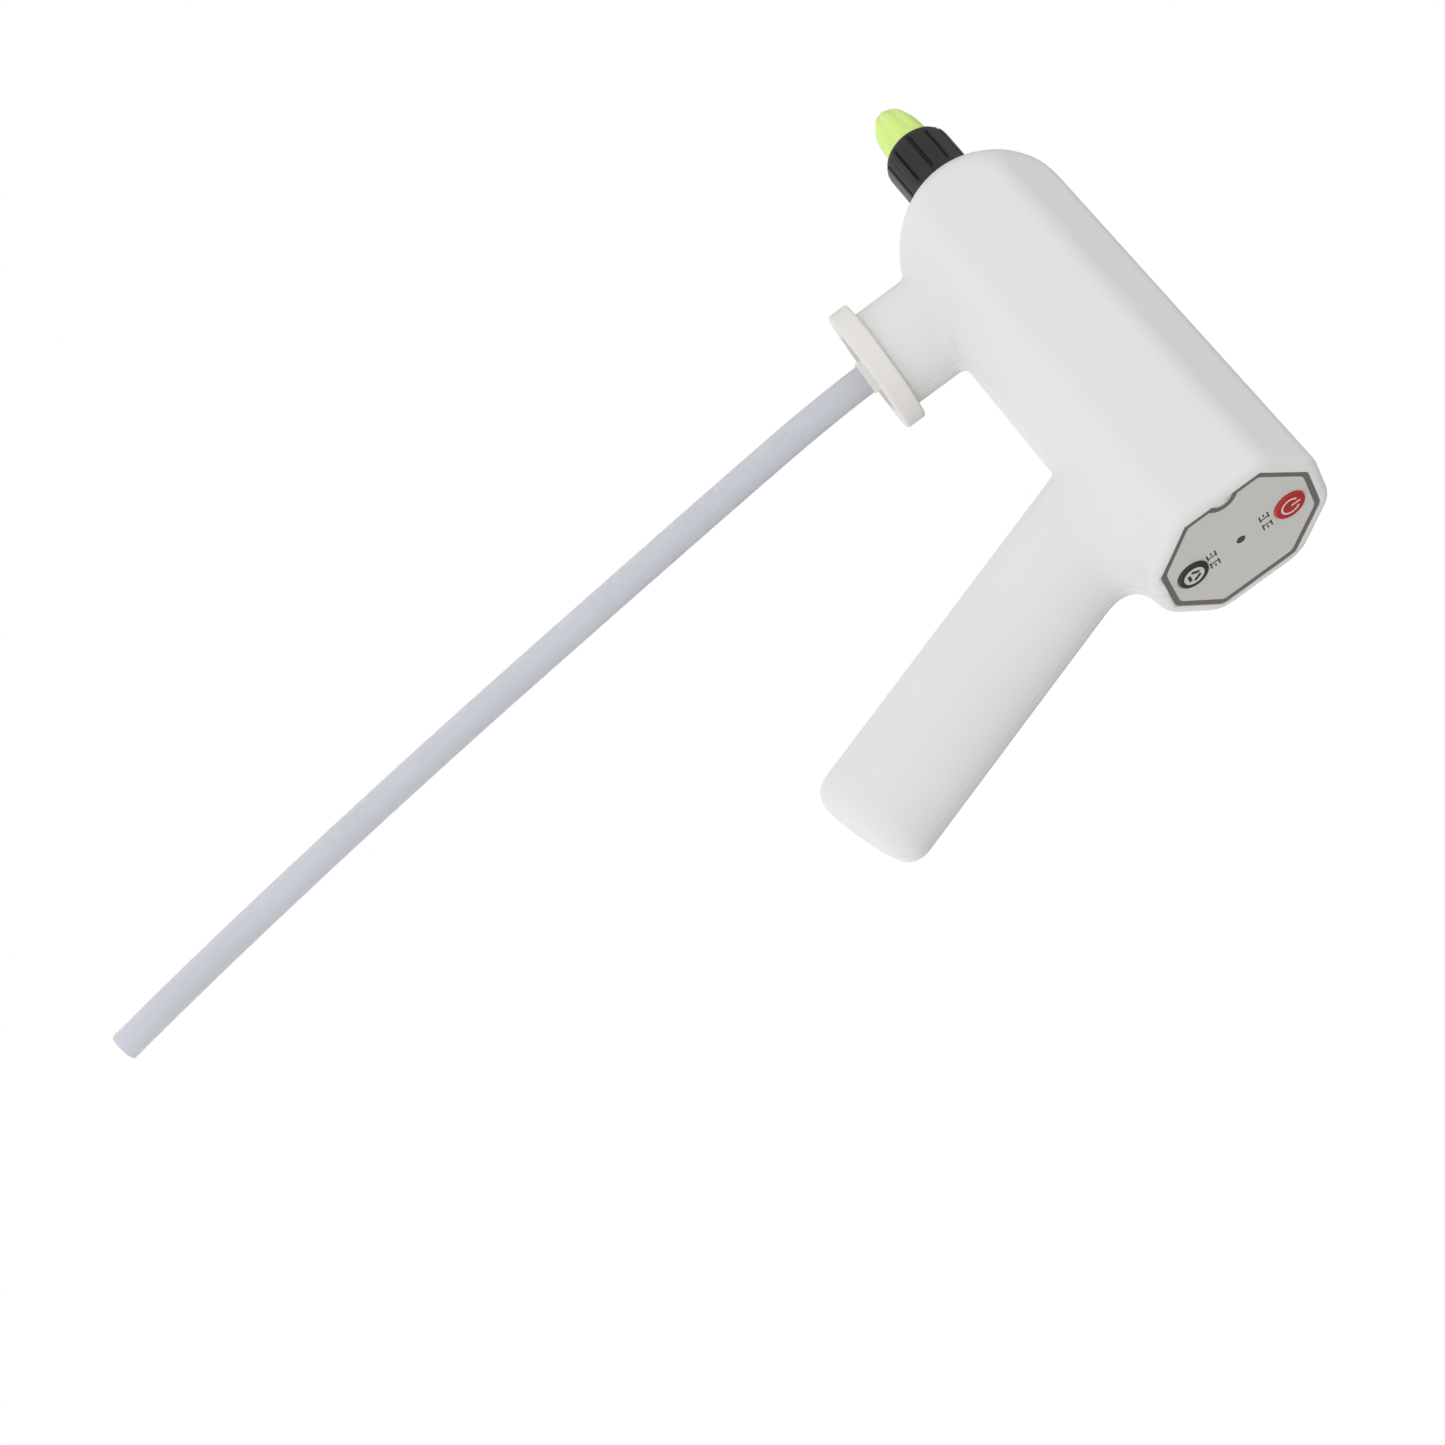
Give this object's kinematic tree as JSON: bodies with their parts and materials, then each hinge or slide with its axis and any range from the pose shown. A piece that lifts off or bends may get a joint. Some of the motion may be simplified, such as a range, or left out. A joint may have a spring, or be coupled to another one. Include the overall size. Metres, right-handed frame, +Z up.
{
  "type": "spray gun",
  "caption": "Cordless pistol-grip spray gun head with a battery, gear pump and push-button panel, screwed on a bottle's neck, with a dip tube.",
  "frame": {"origin": "centre of the bottle socket's mouth, in the flange's bottom face", "axes": "+Z up out of the bottle, -X towards the nozzle, +X towards the button panel, +Y to the gun's right-hand side with the shell screws"},
  "size_m": [0.2279, 0.0524, 0.3856],
  "materials": {
    "shell_white": "satin moulded ABS",
    "adapter_white": "satin moulded polypropylene",
    "screw_steel": "zinc plated",
    "seal_rubber": "matte",
    "tube_clear": "translucent polyethylene",
    "hose_silicone": "translucent silicone",
    "pump_black": "matte nylon",
    "shaft_steel": "ground",
    "gear_nylon": "natural nylon",
    "motor_steel": "drawn steel",
    "magnet_dark": "ferrite",
    "contact_brass": "bright",
    "contact_nickel": "nickel strip",
    "collar_black": "satin black",
    "tip_green": "satin yellow-green",
    "label_grey": "printed polycarbonate film",
    "button_red": "printed film",
    "button_black": "printed film",
    "switch_plastic": "matte",
    "lens_smoke": "smoked window",
    "board_green": "solder mask",
    "cell_wrap": "shrink wrap",
    "foam_grey": "closed-cell foam",
    "lead_red": "PVC insulation"
  },
  "bodies": {
    "gun": {"left_shell": "shell_white", "right_shell": "shell_white", "shell_screws": "screw_steel", "bottle_adapter": "adapter_white", "bottle_gasket": "hose_silicone", "dip_tube": "tube_clear", "inlet_hose": "hose_silicone", "outlet_hose": "hose_silicone", "pump_body": "pump_black", "pump_cover": "pump_black", "pump_screws": "screw_steel", "gear_pin": "shaft_steel", "shaft_seal": "seal_rubber", "motor_can": "motor_steel", "motor_magnets": "magnet_dark", "motor_endcap": "pump_black", "motor_terminals": "contact_brass", "nozzle_stem": "pump_black", "swirl_core": "contact_brass", "rear_panel": "shell_white", "panel_label": "label_grey", "switch_housings": "switch_plastic", "lamp_lens": "lens_smoke", "status_lamp": "switch_plastic", "control_board": "board_green", "board_screws": "screw_steel", "board_parts": "switch_plastic", "charge_socket": "motor_steel", "battery_cell": "cell_wrap", "battery_pads": "foam_grey", "battery_tabs": "contact_nickel", "battery_leads": "lead_red", "motor_leads": "lead_red"},
    "rotor": {"motor_shaft": "shaft_steel", "rotor_core": "motor_steel", "commutator": "contact_brass", "drive_gear": "gear_nylon"},
    "idler": {"idler_gear": "gear_nylon"},
    "power_button": {"power_button": "button_red", "power_plunger": "switch_plastic"},
    "mode_button": {"mode_button": "button_black", "mode_plunger": "switch_plastic"},
    "tip_slider": {"tip_seal": "seal_rubber"},
    "tip": {"nozzle_tip": "tip_green"},
    "collar_slider": {"collar_washer": "seal_rubber"},
    "collar": {"collar_nut": "collar_black"}
  },
  "joints": [
    {"name": "power_press", "type": "slide", "parent": "gun", "child": "power_button", "axis": [-1, 0, 0], "range_m": [0, 0.0006], "stiffness_N_per_m": 1500, "springref_m": -0.0003},
    {"name": "mode_press", "type": "slide", "parent": "gun", "child": "mode_button", "axis": [-1, 0, 0], "range_m": [0, 0.0006], "stiffness_N_per_m": 1500, "springref_m": -0.0003},
    {"name": "rotor_spin", "type": "hinge", "parent": "gun", "child": "rotor", "pos_m": [0.05, 0, 0.057], "axis": [1, 0, 0], "continuous": true},
    {"name": "idler_spin", "type": "hinge", "parent": "gun", "child": "idler", "pos_m": [0.035, 0, 0.0426], "axis": [1, 0, 0], "continuous": true},
    {"name": "tip_travel", "type": "slide", "parent": "gun", "child": "tip_slider", "axis": [-1, 0, 0], "range_m": [0, 0.0015]},
    {"name": "tip_turn", "type": "hinge", "parent": "tip_slider", "child": "tip", "pos_m": [-0.07, 0, 0.0542], "axis": [-1, 0, 0], "range_deg": [0, 360]},
    {"name": "collar_travel", "type": "slide", "parent": "gun", "child": "collar_slider", "axis": [-1, 0, 0], "range_m": [0, 0.0015]},
    {"name": "collar_turn", "type": "hinge", "parent": "collar_slider", "child": "collar", "pos_m": [-0.055, 0, 0.0542], "axis": [-1, 0, 0], "range_deg": [0, 360]}
  ],
  "couplings": [
    {"joint": "idler_spin", "follows": "rotor_spin", "ratio": -1},
    {"joint": "tip_travel", "follows": "tip_turn", "m_per_rad": 0.00023873},
    {"joint": "collar_travel", "follows": "collar_turn", "m_per_rad": 0.00023873}
  ]
}
